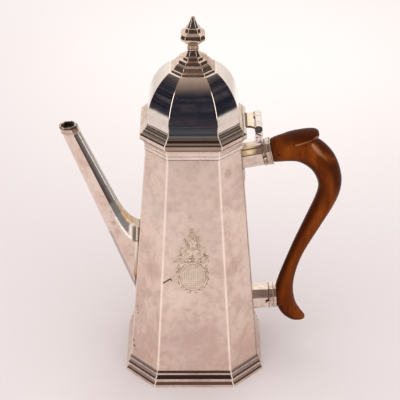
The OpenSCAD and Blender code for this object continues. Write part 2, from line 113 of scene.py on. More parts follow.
class Paint:
    """A node material under construction."""

    def __init__(self, name, tree=None):
        if tree is None:
            self.material = bpy.data.materials.new(name)
            self.material.use_nodes = True
            tree = self.material.node_tree
        self.tree = tree
        self.tree.nodes.clear()

    def node(self, kind, settings=(), **inputs):
        """A node of a kind, its settings first, then the values or links of its sockets.

        A socket goes by its name, or by its number as i0, i1 and so on.
        """
        made = self.tree.nodes.new(kind)
        for key, value in dict(settings).items():
            if key == "stops":
                ramp = made.color_ramp
                while len(ramp.elements) < len(value):
                    ramp.elements.new(0.5)
                for stop, (place, colour) in zip(ramp.elements, value):
                    stop.position = place
                    stop.color = (*colour, 1)
            else:
                setattr(made, key, value)
        for key, value in inputs.items():
            socket = int(key[1:]) if key[1:].isdigit() else key
            self.feed(made.inputs[socket], value)
        return made

    def feed(self, socket, value):
        """A value or a link into a socket."""
        if isinstance(value, Wire):
            value = value.socket
        if isinstance(value, bpy.types.NodeSocket):
            self.tree.links.new(value, socket)
        elif socket.type == "RGBA" and len(value) == 3:
            socket.default_value = (*value, 1)
        else:
            socket.default_value = value

    def sum(self, operation, *values):
        """A Math node on numbers or wires."""
        made = self.node("ShaderNodeMath", {"operation": operation})
        for socket, value in zip(made.inputs, values):
            self.feed(socket, value)
        return Wire(self, made.outputs[0])

    def between(self, value, low, high):
        """0 below low, 1 above high, smooth between them."""
        made = self.node("ShaderNodeMapRange", {"interpolation_type": "SMOOTHSTEP"},
                         Value=value, i1=low, i2=high)
        return Wire(self, made.outputs[0])

    def mix(self, share, first, second):
        """A colour between two, by a share from 0 to 1."""
        made = self.node("ShaderNodeMix", {"data_type": "RGBA"}, i0=share, i6=first, i7=second)
        return made.outputs[2]

    def ramp(self, value, stops):
        """The colour at a value along a row of (place, colour) stops."""
        return self.node("ShaderNodeValToRGB", {"stops": stops}, i0=value).outputs[0]

    def place(self, scale=(1, 1, 1), turn=(0, 0, 0)):
        """Object coordinates, stretched and turned."""
        coords = self.node("ShaderNodeTexCoord").outputs["Object"]
        if scale == (1, 1, 1) and turn == (0, 0, 0):
            return coords
        return self.node("ShaderNodeMapping", i0=coords, i2=turn, i3=scale).outputs[0]

    def xyz(self, coords):
        """The three numbers of a vector."""
        parts = self.node("ShaderNodeSeparateXYZ", i0=coords).outputs
        return [Wire(self, part) for part in parts]

    def noise(self, coords, scale, detail=2.0, rough=0.5, distort=0.0):
        """A cloudy number from 0 to 1."""
        made = self.node("ShaderNodeTexNoise", Vector=coords, Scale=scale, Detail=detail,
                         Roughness=rough, Distortion=distort)
        return Wire(self, made.outputs[0])

    def most(self, *values):
        """The greatest of several numbers."""
        top = values[0]
        for value in values[1:]:
            top = self.sum("MAXIMUM", top, value)
        return top

    def least(self, one, other):
        """The smaller of two numbers."""
        return self.sum("MINIMUM", one, other)

    def inside(self, value, low, high, soft):
        """1 between low and high, fading to 0 over a soft edge at either side."""
        return self.between(value, low - soft, low) * (1 - self.between(value, high, high + soft))

    def near(self, coords, spot, radius, ragged=0.0):
        """1 at a spot given in mm, fading to 0 over a radius in mm."""
        centre = tuple(v * MM for v in spot)
        off = self.node("ShaderNodeVectorMath", {"operation": "DISTANCE"}, i0=coords, i1=centre)
        off = Wire(self, off.outputs["Value"])
        if ragged:
            wobble = self.noise(coords, 0.5 / (radius * MM), 3, 0.6) - 0.5
            off = off + wobble * (ragged * radius * MM)
        return 1 - self.between(off, 0.3 * radius * MM, radius * MM)

    def stroke(self, x, z, start, end, width):
        """1 along a straight line between two (x, z) points in mm."""
        run = Vector(end) - Vector(start)
        way = run.normalized()
        from_x, from_z = x - start[0] * MM, z - start[1] * MM
        along = from_x * way.x + from_z * way.y
        along = self.least(self.most(along, 0), run.length * MM)
        off_x, off_z = from_x - along * way.x, from_z - along * way.y
        off = flat_length(off_x, off_z)
        return 1 - self.between(off, 0.3 * width * MM, width * MM)

    def bump(self, height, distance, strength=1.0, after=None):
        """A height as a normal, on top of another where one is given."""
        made = self.node("ShaderNodeBump", Height=height, Distance=distance, Strength=strength)
        if after is not None:
            self.feed(made.inputs["Normal"], after)
        return made.outputs[0]

    def surface(self, **inputs):
        """The finished surface, as one Principled shader."""
        shader = self.node("ShaderNodeBsdfPrincipled")
        for key, value in inputs.items():
            self.feed(shader.inputs[key.replace("_", " ")], value)
        self.node("ShaderNodeOutputMaterial", i0=shader.outputs[0])
        return self.material


# ------------------------------------------------------------------ the camera

EYE = Vector((4.12, -798.26, 621.55)) * MM
CAMERA_TILT = math.radians(57.807)
CAMERA_ROLL = math.radians(-0.098)
LENS_MM = 130.48
SENSOR_MM = 36


def camera():
    """The one view, from in front and above."""
    data = bpy.data.cameras.new("camera")
    data.sensor_width = SENSOR_MM
    data.lens = LENS_MM
    seat = bpy.data.objects.new("camera", data)
    seat.location = EYE
    turn = Matrix.Rotation(CAMERA_TILT, 3, "X") @ Matrix.Rotation(CAMERA_ROLL, 3, "Z")
    seat.rotation_euler = turn.to_euler()
    bpy.context.scene.collection.objects.link(seat)
    bpy.context.scene.camera = seat


# ------------------------------------------------------------- light and floor

FLOOR_R = 0.75
FLOOR_SOLID_R = 0.42             # past here the floor fades into the backdrop
BACKDROP = (0.955, 0.905, 0.885)
FLOOR = (0.80, 0.735, 0.74)
FLOOR_LIGHT = (0.97, 0.92, 0.905)
FLOOR_SHADE = (0.62, 0.54, 0.53)  # painted shadow close round the foot
FOOT_SHADE_AT = (-0.016, -0.055)
FOOT_SHADE_R = (0.02, 0.08)      # from full shade to none
LIGHT_PATCH = (0.06, 0.50)       # where a painted pool of light makes the floor lightest
LIGHT_PATCH_R = (0.48, 0.06)     # from plain floor to fully light
LIGHT_PATCH_SQUASH = 1.6         # it is narrower from left to right
TABLE_FRONT = (0.46, 0.66)       # metal sees the table fade out here, towards the viewer

# what the metal mirrors
DARK_TONES = [(0.34, (0.005, 0.007, 0.014)), (0.50, (0.020, 0.022, 0.038)),
              (0.64, (0.095, 0.090, 0.105))]
RED_GLOW = (0.16, 0.045, 0.038)
CEILING_TONES = [(0.52, (0.045, 0.042, 0.048)), (0.72, (0.125, 0.104, 0.094)),
                 (0.86, (0.29, 0.22, 0.185)), (0.99, (0.47, 0.36, 0.30))]
PALE_TONES = [(0.30, (0.72, 0.655, 0.62)), (0.50, (0.95, 0.89, 0.85)),
              (0.80, (1.10, 1.06, 1.02)), (1.0, (0.9, 0.85, 0.8))]
SOFT_BOX = (2.3, 2.15, 1.95)

# the light on matt things, from behind and below to in front and above
MATT_LIGHT = [(0.0, (0.30, 0.29, 0.29)), (0.5, (0.58, 0.57, 0.57)),
              (0.8, (1.18, 1.16, 1.15)), (1.0, (1.50, 1.47, 1.45))]
LAMP_COLOUR = (1.0, 0.97, 0.94)


def room():
    """A pale studio. Metal mirrors its dark front half, two tall soft boxes and a pale rear."""
    world = bpy.data.worlds.new("room")
    bpy.context.scene.world = world
    world.use_nodes = True
    world.cycles.sampling_method = "NONE"
    paint = Paint("room", world.node_tree)
    direction = paint.node("ShaderNodeTexCoord").outputs["Generated"]
    x, y, z = paint.xyz(direction)

    # dark from the table's edge up to a brown ceiling, in front and at both sides
    table_edge = -0.12 - 0.40 * paint.between(-1 * y, 0.35, 0.85)
    risen = paint.between(z, table_edge - 0.03, table_edge + 0.04)
    rear = paint.between(y, 0.22, 0.50)
    stretched = paint.node("ShaderNodeMapping", i0=direction, i3=(50, 12, 1.4)).outputs[0]
    cloth = paint.noise(stretched, 1.5, 3, 0.6)
    glow = paint.noise(stretched, 1.1, 2, 0.5)
    dark = paint.ramp(cloth, DARK_TONES)
    dark = paint.mix(paint.between(glow, 0.60, 0.72) * 0.5, dark, RED_GLOW)
    ceiling = paint.ramp(z, CEILING_TONES)
    dark = paint.mix(paint.between(z + cloth * 0.2, 0.66, 0.84), dark, ceiling)
    pale = paint.ramp(z * 0.5 + 0.5, PALE_TONES)
    mirrored = paint.mix(risen * (1 - rear), pale, dark)

    # a soft box at each front corner
    spread = abs(x) / paint.most(-1 * y, 0.001)
    box = paint.between(spread, 0.60, 0.80) * (1 - paint.between(spread, 1.5, 2.1))
    box = box * paint.between(z, -0.10, 0.02) * (1 - paint.between(z, 0.62, 0.75))
    mirrored = paint.mix(box, mirrored, SOFT_BOX)

    # matt things are lit from the front and a little from above
    lean = z * 0.55 - y * 0.83
    soft = paint.ramp(lean * 0.5 + 0.5, MATT_LIGHT)
    rays = paint.node("ShaderNodeLightPath").outputs
    gloss = paint.mix(rays["Is Glossy Ray"], soft, mirrored)
    seen = paint.mix(rays["Is Camera Ray"], gloss, BACKDROP)
    shown = paint.node("ShaderNodeBackground", i0=seen)
    paint.node("ShaderNodeOutputWorld", i0=shown.outputs[0])


def lamp(name, place, aim, size, watts):
    """A square of light that no metal mirrors."""
    data = bpy.data.lights.new(name, "AREA")
    data.shape = "SQUARE"
    data.size = size
    data.energy = watts
    data.color = LAMP_COLOUR
    seat = bpy.data.objects.new(name, data)
    seat.location = place
    seat.rotation_euler = (Vector(aim) - Vector(place)).to_track_quat("-Z", "Y").to_euler()
    seat.visible_glossy = False
    bpy.context.scene.collection.objects.link(seat)


def floor():
    """A pale table top that fades into the backdrop, lighter in a painted pool of light behind the
    pot, darker in a painted shadow close round the foot.
    """
    form = bmesh.new()
    bmesh.ops.create_circle(form, cap_ends=True, segments=96, radius=FLOOR_R)
    mesh = bpy.data.meshes.new("floor")
    form.to_mesh(mesh)
    form.free()
    table = bpy.data.objects.new("floor", mesh)
    bpy.context.scene.collection.objects.link(table)
    paint = Paint("floor")
    x, y, _ = paint.xyz(paint.place())
    reach = flat_length(x, y)
    glossy = Wire(paint, paint.node("ShaderNodeLightPath").outputs["Is Glossy Ray"])
    past_edge = glossy * paint.between(-1 * y, *TABLE_FRONT)
    off_x, off_y = x - LIGHT_PATCH[0], y - LIGHT_PATCH[1]
    off = (off_x * off_x * LIGHT_PATCH_SQUASH + off_y * off_y) ** 0.5
    card = paint.mix(paint.between(off, *LIGHT_PATCH_R), FLOOR, FLOOR_LIGHT)
    near = flat_length(x - FOOT_SHADE_AT[0], y - FOOT_SHADE_AT[1])
    shade = 1 - paint.between(near, *FOOT_SHADE_R)
    card = paint.mix(shade * 0.40, card, FLOOR_SHADE)
    card = paint.node("ShaderNodeBsdfDiffuse", i0=card)
    clear = paint.node("ShaderNodeBsdfTransparent")
    fade = paint.most(paint.between(reach, FLOOR_SOLID_R, FLOOR_R), past_edge)
    both = paint.node("ShaderNodeMixShader", i0=fade, i1=card.outputs[0], i2=clear.outputs[0])
    paint.node("ShaderNodeOutputMaterial", i0=both.outputs[0])
    mesh.materials.append(paint.material)


# -------------------------------------------------------------------- silver


def wide_share(paint, z):
    """The wide-face share of the octagon at a height."""
    return FOOT_SHARE - (FOOT_SHARE - LID_SHARE) / LID_Z * paint.least(z, LID_Z)


def edge_nearness(paint, width):
    """1 along the eight upright edges of the octagons, fading to 0 over a width."""
    x, y, z = paint.xyz(paint.place())
    share = wide_share(paint, z)
    long = paint.most(abs(x), abs(y))
    short = paint.least(abs(x), abs(y))
    off = abs(short - share * long)
    return 1 - paint.between(off, 0, width)


UP, SIDEWAYS, FORWARDS = (0, 0, 1), (1, 0, 0), (0, -1, 0)
BROWN = (0.090, 0.042, 0.027)
EDGE_HIGHLIGHT = (0.93, 0.78, 0.66)        # painted highlight along an edge

# shares that keep a dark line to the front facet, or to the front three
FOOT_FRONT, FOOT_THREE = FOOT_SHARE, 1 / FOOT_SHARE
LID_FRONT, LID_THREE = LID_SHARE, 1 / LID_SHARE

# a dark line between two levels, in mm, measured along a way from an origin: mostly painted
# shade and painted dark reflection, with a few dark joints
Band = namedtuple("Band", "low high tint strength way origin share",
                  defaults=(BROWN, 1.0, UP, (0, 0, 0), None))


def band_mask(paint, coords, band):
    """1 within a band, with a thin soft edge."""
    x, y, z = paint.xyz(coords)
    shift = sum(o * w for o, w in zip(band.origin, band.way)) * MM
    reach = x * band.way[0] + y * band.way[1] + z * band.way[2] - shift
    mask = paint.inside(reach, band.low * MM, band.high * MM, 0.12 * MM) * band.strength
    if band.share:
        mask = mask * paint.between(-band.share * y - abs(x), -0.3 * MM, 0.1 * MM)
    return mask


def silver(name, colour, tarnish, rough, blotch=0.5, edge=None, edge_metal=1.0, far_edge=EDGE_HIGHLIGHT,
           dents=0.0, low=0.0, film=0.0, polished_ends=0.0, bands=(), spots=(), dress=None):
    """Sterling silver: blotches of tarnish, fine rubbing marks, dark lines of painted shade and
    painted highlights along the edges.

    blotch is the strength of the stains, and low adds painted shade to them towards the foot.
    edge is the width in mm of a painted highlight along the upright edges, far_edge the colour
    painted instead on the edges next to the handle, and edge_metal their shine. dents is the
    depth in mm of the hammering, and film dulls the metal, except by polished_ends on the
    facets under the spout and the handle. bands are dark lines, mostly painted shade and
    painted dark reflection, with a few dark joints. spots are (place, radius, strength,
    colour): stains, and on the upper socket a painted highlight. dress is a function that
    draws on top.
    """
    paint = Paint(name)
    coords = paint.place()
    cloud = paint.between(paint.noise(coords, 40, 5, 0.66, 0.4), 0.38, 0.66)
    speck = paint.between(paint.noise(coords, 210, 3, 0.65), 0.40, 0.70)
    stain_and_shade = cloud * blotch + speck * (blotch * 0.85)
    # low adds painted shade towards the foot, mixed in with the stains
    if low:
        stain_and_shade = stain_and_shade + low * (1 - paint.between(paint.xyz(coords)[2], 0.01, 0.12))
    stain_and_shade = paint.least(stain_and_shade, 1)
    bloomed = paint.between(paint.noise(coords, 24, 3, 0.55), 0.44, 0.68)
    bloom = paint.mix(bloomed, tarnish, tuple(c * k for c, k in zip(tarnish, (1.04, 0.98, 0.96))))
    skin = paint.mix(stain_and_shade, colour, bloom)
    sheen = 1.0 - film * (0.6 + 0.4 * stain_and_shade)
    if polished_ends:
        x, y, z = paint.xyz(coords)
        end = paint.between(wide_share(paint, z) * abs(x) - abs(y), 0, 0.4 * MM)
        sheen = sheen + end * (1 - sheen) * polished_ends
    for place, radius, strength, tint in spots:
        spot = paint.near(coords, place, radius, 0.9) * strength
        skin = paint.mix(spot, skin, tint)
        sheen = sheen * (1 - 0.75 * spot)
    roughness = rough + 0.10 * stain_and_shade
    rubbed = paint.noise(paint.place((1, 1, 0.25)), 900, 2, 0.6)
    normal = paint.bump(rubbed, 0.02 * MM, 0.25)
    if dents:
        wave = paint.noise(coords, 55, 2, 0.5)
        normal = paint.bump(wave, dents * MM, 0.6, normal)
    # bands of painted shade and painted dark reflection, with a few dark joints
    for band in bands:
        joint_and_shade = band_mask(paint, coords, band)
        skin = paint.mix(joint_and_shade, skin, band.tint)
        sheen = sheen * (1 - 0.7 * joint_and_shade)
    if edge:
        # a painted highlight along the upright edges; the edges next to the handle take the
        # far_edge colour, which on the body and foot is a painted shade line
        x, y, _ = paint.xyz(coords)
        worn = edge_nearness(paint, edge * MM)
        patchy = paint.between(paint.noise(coords, 60, 3, 0.6), 0.30, 0.60)
        tint = paint.mix(paint.between(x - abs(y), 0, 2 * MM), EDGE_HIGHLIGHT, far_edge)
        skin = paint.mix(worn * (0.5 + 0.5 * patchy), skin, tint)
        sheen = sheen + worn * (edge_metal - sheen)
    if dress:
        skin, sheen, normal = dress(paint, coords, skin, sheen, normal)
    return paint.surface(Base_Color=skin, Metallic=sheen, Roughness=roughness, Normal=normal)


CARTOUCHE = (-0.6, 84.0)         # x and z of the middle of its oval, in mm
OVAL = (8.4, 10.6)               # half its width and half its height, in mm
HATCHING = 4.4                   # radians for each mm, which puts the cuts 1.4 mm apart
SPRAY_FOOT, SPRAY_TALL = 11, 24  # above the middle of the oval, in mm
CREAM = (0.90, 0.77, 0.58)
CUT = (0.22, 0.125, 0.07)
SCRATCHED = (0.035, 0.02, 0.016)
SCRATCH = ((-19.5, 79.2), (-14.9, 82.2), (-14.1, 80.9))


def engraved(paint, coords, skin, sheen, normal):
    """A plain oval hatched across, in a frame of mirrored scrolls below a leafy spray."""
    x, y, z = paint.xyz(coords)
    front = paint.between(-1 * y, 0.026, 0.028)
    across, up = x / MM - CARTOUCHE[0], z / MM - CARTOUCHE[1]
    half = abs(across)
    mirrored = paint.node("ShaderNodeCombineXYZ", X=half, Y=up).outputs[0]
    drift = paint.noise(mirrored, 0.20, 2, 0.5, 0.8)
    curls = paint.between(paint.sum("SINE", drift * 50), 0.05, 0.75)
    ring = ((across / OVAL[0]) ** 2 + (up / OVAL[1]) ** 2) ** 0.5
    turn = paint.sum("ARCTAN2", up, half)
    oval = 1 - paint.between(ring, 0.97, 1.0)
    rings = paint.most(paint.inside(ring, 0.98, 1.00, 0.04), paint.inside(ring, 0.85, 0.86, 0.03))
    rows, columns = (paint.between(paint.sum("SINE", way * HATCHING), 0.35, 0.9)
                     for way in (up, across))
    hatch = paint.most(rows * 0.55, columns * 0.5) * (1 - paint.between(ring, 0.80, 0.84))
    frame_edge = 1.24 + 0.05 * paint.sum("COSINE", turn * 9) + 0.012 * up + 0.12 * drift
    scrolls = paint.between(ring, 1.0, 1.04) * (1 - paint.between(ring - frame_edge, -0.04, 0.04))
    high = up - SPRAY_FOOT
    reach = 12.0 - 0.44 * high + 1.2 * paint.sum("SINE", high * 0.8 + 0.6) + 5 * (drift - 0.5)
    spray = (1 - paint.between(half - reach, -0.4, 0.4)) * paint.inside(high, 0, SPRAY_TALL, 1.0)
    ribs = paint.sum("ARCTAN2", half, high + 5)
    ribs = paint.between(paint.sum("SINE", ribs * 15 + high * 0.35), 0.55, 0.95)
    ground = paint.most(oval, scrolls, spray)
    cut = paint.most(rings, hatch, curls * scrolls, paint.most(curls, ribs * 0.5) * spray)
    worn = paint.between(paint.noise(coords, 330, 2, 0.5), 0.32, 0.60)
    skin = paint.mix(ground * front * 0.42, skin, CREAM)
    skin = paint.mix(cut * front * (0.35 + 0.65 * worn) * 0.80, skin, CUT)
    scratch = paint.most(paint.stroke(x, z, SCRATCH[0], SCRATCH[1], 0.75),
                         paint.stroke(x, z, SCRATCH[1], SCRATCH[2], 0.55)) * front
    skin = paint.mix(scratch * 0.95, skin, SCRATCHED)
    return skin, sheen, paint.bump(cut * front, -0.05 * MM, 0.5, normal)


# painted reflections across the spout's upper slope, a painted highlight at its ridge, and painted
# reflections along the ridge's top
SLOPE_TONES = [(0.414, (0.050, 0.038, 0.036)), (0.60, (0.095, 0.078, 0.078)),
               (0.74, (0.165, 0.145, 0.145)), (0.90, (0.230, 0.210, 0.195)),
               (0.93, (1.000, 1.000, 0.980)), (0.98, (1.000, 0.960, 0.900))]
RIDGE_TONES = [(0.0, (0.230, 0.195, 0.150)), (0.5, (0.360, 0.310, 0.250)),
               (1.0, (0.700, 0.620, 0.530))]
FLARE = [  # (start, end, width, colour) of each streak of painted reflection and highlight, x and z in mm
    ((-52.3, 119.0), (-48.8, 110.4), 3.2, (0.20, 0.195, 0.19)),
    ((-48.8, 110.4), (-42.5, 101.5), 3.2, (0.25, 0.26, 0.28)),
    ((-49.9, 119.2), (-46.4, 111.7), 1.0, (0.62, 0.48, 0.30)),
    ((-46.4, 111.7), (-43.1, 106.3), 1.2, (0.88, 0.66, 0.38)),
    ((-43.1, 106.3), (-39.7, 102.9), 1.2, (0.92, 0.74, 0.50)),
    ((-39.7, 102.9), (-35.5, 101.2), 1.2, (0.95, 0.86, 0.70)),
    ((-54.4, 118.6), (-50.7, 110.2), 0.8, (0.62, 0.58, 0.53)),
    ((-50.7, 110.2), (-46.7, 102.4), 1.0, (0.86, 0.84, 0.78)),
    ((-46.7, 102.4), (-42.6, 96.2), 1.2, (0.97, 0.96, 0.92)),
    ((-38.2, 100.0), (-38.6, 94.0), 2.4, (0.17, 0.14, 0.09)),
    ((-41.2, 102.5), (-41.4, 95.5), 1.6, (1.0, 1.0, 0.98)),
    ((-37.2, 101.0), (-37.4, 94.0), 0.8, (1.0, 0.98, 0.95)),
    ((-37.4, 91.0), (-38.0, 68.0), 1.6, (0.95, 0.84, 0.73)),
    ((-38.2, 65.4), (-39.4, 56.4), 0.9, (0.08, 0.05, 0.035))]


def painted_spout_reflections(paint, coords, skin, sheen, normal):
    """Painted reflections and highlights along the spout's upper slopes and ridge, flare to mouth.
    """
    x, y, z = paint.xyz(coords)
    past_bend = paint.most(z - SPOUT_BEND * MM, 0)
    half = 7 * MM - past_bend * 0.034
    across = (x - SPOUT_X * MM + past_bend * SPOUT_LEAN) / half
    wander = (paint.noise(paint.place((1, 1, 0.12)), 260, 2, 0.6) - 0.5) * 0.10
    slope = paint.ramp(across + wander, SLOPE_TONES)
    ridge = paint.ramp(y / (6 * MM) + 0.5, RIDGE_TONES)
    tone = paint.mix(paint.between(across, 0.975, 0.995), slope, ridge)
    mask = paint.between(across, 0.400, 0.425) * paint.between(z, 0.1110, 0.1190)
    skin = paint.mix(mask, skin, tone)
    sheen = sheen * (1 - 0.85 * mask)
    for start, end, width, tint in FLARE:
        streak = paint.stroke(x, z, start, end, width) * 0.9
        skin = paint.mix(streak, skin, tint)
        sheen = sheen * (1 - 0.8 * streak)
    return skin, sheen, normal


SCROLL_LINE = (0.10, 0.055, 0.035)


def scrolled(paint, coords, skin, sheen, normal):
    """The hinge post: a dark scroll line round its eye and dark mottling in its neck."""
    x, y, z = paint.xyz(coords)
    line = paint.most(paint.stroke(x, z, (39.4, 172.6), (39.9, 170.4), 0.8),
                      paint.stroke(x, z, (39.9, 170.4), (42.2, 169.3), 0.8))
    neck = paint.between(paint.noise(coords, 520, 2, 0.6), 0.46, 0.56)
    neck = neck * paint.inside(z / MM, 163.6, 168.0, 0.5) * 0.85
    dark = paint.most(line, neck) * paint.between(-1 * y, 0.001, 0.003)
    return paint.mix(dark, skin, SCROLL_LINE), sheen * (1 - 0.6 * dark), normal


# height, half thickness and x of the grip's middle line, as the solid has them, in mm
GRIP = [(24, 1.0, 76.0), (27, 4.6, 70.0), (33, 6.1, 64.1), (41, 6.5, 61.4), (48.7, 6.2, 60.8),
        (57.5, 5.4, 62.0), (67.6, 4.8, 64.5), (77.6, 4.7, 67.7), (86.6, 5.1, 71.2),
        (97.2, 5.7, 75.8), (107.4, 6.2, 80.3), (117.2, 6.8, 84.5), (125.8, 7.2, 87.3),
        (133.2, 7.8, 87.9), (141, 8.4, 86.1), (148.1, 9.0, 82.7), (153.4, 9.4, 78.0),
        (160, 9.6, 70.0)]
GRIP_TOP = 170                   # the heights above end below this, in mm
GRIP_VOXEL = 0.55 * MM

WOOD_TONES = [(0.30, (0.062, 0.0090, 0.0006)), (0.45, (0.125, 0.0230, 0.0016)),
              (0.60, (0.205, 0.0450, 0.0040)), (0.78, (0.330, 0.0950, 0.0120))]
PAINTED_WOOD_SHADE = (0.040, 0.0060, 0.0006)
SHINE = (0.54, 0.29, 0.19)
CREASE_HIGHLIGHT = (0.60, 0.27, 0.14)
KNOT = (0.015, 0.004, 0.001)


def wood():
    """Polished fruitwood with its grain; painted shade darkens its edges and top, and painted
    highlights lie under the leaf.
    """
    paint = Paint("fruitwood")
    coords = paint.place()
    x, y, z = paint.xyz(coords)
    slope = (0, 0.42, 0)
    figure = paint.noise(paint.place((1, 1, 0.20), slope), 52, 4, 0.6, 1.2)
    fibre = paint.noise(paint.place((1, 1, 0.07), slope), 420, 3, 0.6, 0.3)
    tone = figure * 0.74 + fibre * 0.30
    colour = paint.ramp(tone, WOOD_TONES)

    def by_height(column, scale):
        """A column of the grip's table, which a ramp holds as shares of a scale in mm."""
        stops = [(row[0] / GRIP_TOP, (row[column] / scale,) * 3) for row in GRIP]
        return Wire(paint, paint.ramp(z / (GRIP_TOP * MM), stops)) * (scale * MM)

    half = by_height(1, 10)
    side = (x - by_height(2, 100)) / half
    facing = abs(y) / half
    # painted shade: darker along the grip's inner edge, the arc's outer edge, the top and where the
    # wood is seen side-on, varied by the grain
    grip = 1 - paint.between(z, 0.148, 0.158)
    inner = (1 - paint.between(side, -0.85, -0.05)) * grip
    outer = paint.between(side, -0.15, 0.55) * paint.between(z, 0.116, 0.136) * grip
    upper = paint.between(z, 0.140, 0.150)
    top = paint.most(paint.between(z, 0.1610, 0.1690),
                     (1 - paint.between(x, 0.050, 0.059)) * upper * 0.8,
                     paint.between(x + z, 0.2385, 0.2440) * upper)
    rim = 1 - paint.between(facing, 0.02, 0.40)
    dark = paint.most(inner * 0.85, outer * 0.85, top * 0.90, rim * 0.60)
    dark = paint.least(dark * (0.75 + 0.5 * figure), 1)
    colour = paint.mix(dark, colour, PAINTED_WOOD_SHADE)
    # a painted highlight streak and a painted highlight line along the crease under the leaf, on
    # the near side
    near_side = paint.between(-1 * y, 0.002, 0.005)
    fading = 1 - paint.between(x, 0.074, 0.088)
    shine = paint.most(paint.stroke(x, z, (76.2, 162.8), (80.0, 158.6), 1.9) * 0.6,
                       paint.stroke(x, z, (75.2, 163.8), (84.6, 153.8), 1.1)) * near_side * fading
    colour = paint.mix(shine * 0.48, colour, SHINE)
    crease_highlight = paint.most(paint.stroke(x, z, (64.5, 164.3), (74.5, 166.4), 0.55) * 0.6,
                        paint.stroke(x, z, (74.5, 166.4), (77.8, 169.0), 0.9)) * near_side
    colour = paint.mix(crease_highlight * 0.5, colour, CREASE_HIGHLIGHT)
    knot = paint.near(coords, (53.9, -8.2, 157.7), 1.3)
    colour = paint.mix(knot * 0.8, colour, KNOT)
    pores = paint.noise(paint.place((1, 1, 0.05), slope), 1500, 2, 0.5)
    return paint.surface(Base_Color=colour, Roughness=0.24 + fibre * 0.14,
                         Specular_IOR_Level=0.05,
                         Normal=paint.bump(pores, 0.015 * MM, 0.3))


PIN_GOLD = ((0.86, 0.70, 0.48), (0.55, 0.40, 0.24))
# painted shade in a crescent on each pin end
PIN_CRESCENT = (0.03, 0.018, 0.012)


def pin_end(name, place):
    """A domed pin end, golden with painted shade in a crescent at its upper left."""
    paint = Paint(name)
    coords = paint.place()
    x, _, z = paint.xyz(coords)
    off = flat_length(x - (place[0] + 0.45) * MM, z - (place[1] - 0.55) * MM)
    crescent = paint.between(off, 0.85 * MM, 1.1 * MM)
    speck = paint.between(paint.noise(coords, 900, 3, 0.6), 0.40, 0.65)
    skin = paint.mix(speck, *PIN_GOLD)
    return paint.surface(Base_Color=paint.mix(crescent, skin, PIN_CRESCENT),
                         Metallic=0.5 + 0.3 * speck, Roughness=0.3 + 0.1 * speck)


# -------------------------------------------------------------------- pieces

SAME_POINT = 0.001 * MM
SAME_PLANE = math.radians(0.6)
SAME_WAY = math.radians(5)
LEAST_TURN = math.radians(25)    # an edge that turns by less stays sharp
MITRE_TURN = (0.4, 1.3)          # in radians, seen from above
RIDGE_TURN = 0.4                 # in radians


def is_mitre(edge):
    """An edge where two sides of an octagon meet: their faces look different ways round."""
    if len(edge.link_faces) != 2:
        return False
    one, two = (face.normal.xy for face in edge.link_faces)
    if min(one.length, two.length) < 0.05:
        return False
    return MITRE_TURN[0] < one.angle(two) < MITRE_TURN[1]


def is_spout_ridge(edge):
    """A long outer edge of the spout, from the flare to the mouth."""
    if len(edge.link_faces) != 2:
        return False
    one, two = (face.normal for face in edge.link_faces)
    run = edge.verts[1].co - edge.verts[0].co
    middle = (edge.verts[0].co + edge.verts[1].co) / 2
    axis_x = SPOUT_X * MM - max(middle.z - SPOUT_BEND * MM, 0) * SPOUT_LEAN
    outward = (one + two).dot(middle - Vector((axis_x, 0, middle.z))) > 0
    clear_of_ends = max(one.x, two.x) < 0.95 and max(one.z, two.z) < 0.9
    upright = abs(run.z) > 0.45 * run.length
    return outward and clear_of_ends and upright and edge.calc_face_angle(0) > RIDGE_TURN


def is_spoke(edge):
    """An edge across a level ring, from a corner of its outside to one of its inside."""
    if any(abs(face.normal.z) < 0.99 for face in edge.link_faces):
        return False
    one, two = (vert.co.xy for vert in edge.verts)
    return min(one.length, two.length) > 0.5 * MM and one.angle(two) < SAME_WAY


def softened(node, radius, segments, mitre):
    """A copy of a frame piece with its mitres, then its other edges, rounded."""
    form = bmesh.new()
    form.from_mesh(frame["nodes"][node].data)
    bmesh.ops.remove_doubles(form, verts=form.verts, dist=SAME_POINT)
    # a ring keeps its spokes, since a face can't have a hole
    joins = [edge for edge in form.edges if not is_spoke(edge)]
    bmesh.ops.dissolve_limit(form, angle_limit=SAME_PLANE, verts=form.verts, edges=joins,
                             use_dissolve_boundaries=False)

    def round_over(chosen, width, steps):
        """The chosen edges, rounded by a width in mm."""
        if chosen and width:
            bmesh.ops.bevel(form, geom=chosen, offset=width * MM, offset_type="OFFSET",
                            segments=steps, profile=0.5, affect="EDGES", clamp_overlap=True,
                            material=-1, loop_slide=True)

    def turned(edge):
        return len(edge.link_faces) == 2 and edge.calc_face_angle(0) > LEAST_TURN

    if node == "spout":
        round_over([e for e in form.edges if is_spout_ridge(e)], mitre, 4)
    elif mitre:
        round_over([e for e in form.edges if is_mitre(e)], mitre, 3)
        round_over([e for e in form.edges if turned(e) and not is_mitre(e)], radius, segments)
    else:
        round_over([e for e in form.edges if turned(e)], radius, segments)
    return form


def carved(made):
    """The wood as one smooth skin, its corners eased as by a rasp."""
    skin = made.modifiers.new("one_skin", "REMESH")
    skin.mode = "VOXEL"
    skin.voxel_size = GRIP_VOXEL
    skin.use_smooth_shade = True
    ease = made.modifiers.new("eased", "SMOOTH")
    ease.factor = 0.5
    ease.iterations = 8
    # the even shading comes last
    made.modifiers.move(0, 2)


def piece(name, form, body, paint, stands_for):
    """A finished mesh as an object that rides on a body."""
    mesh = bpy.data.meshes.new(name)
    form.to_mesh(mesh)
    form.free()
    mesh.shade_smooth()
    made = bpy.data.objects.new(name, mesh)
    bpy.context.scene.collection.objects.link(made)
    weigh = made.modifiers.new("even_shading", "WEIGHTED_NORMAL")
    weigh.weight = 60
    mesh.materials.append(paint)
    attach(made, body)
    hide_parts(*stands_for)
    return made


camera()
room()
floor()
lamp("overhead", place=(-0.15, 0.35, 1.3), aim=(0, 0, 0.1), size=1.2, watts=3.0)

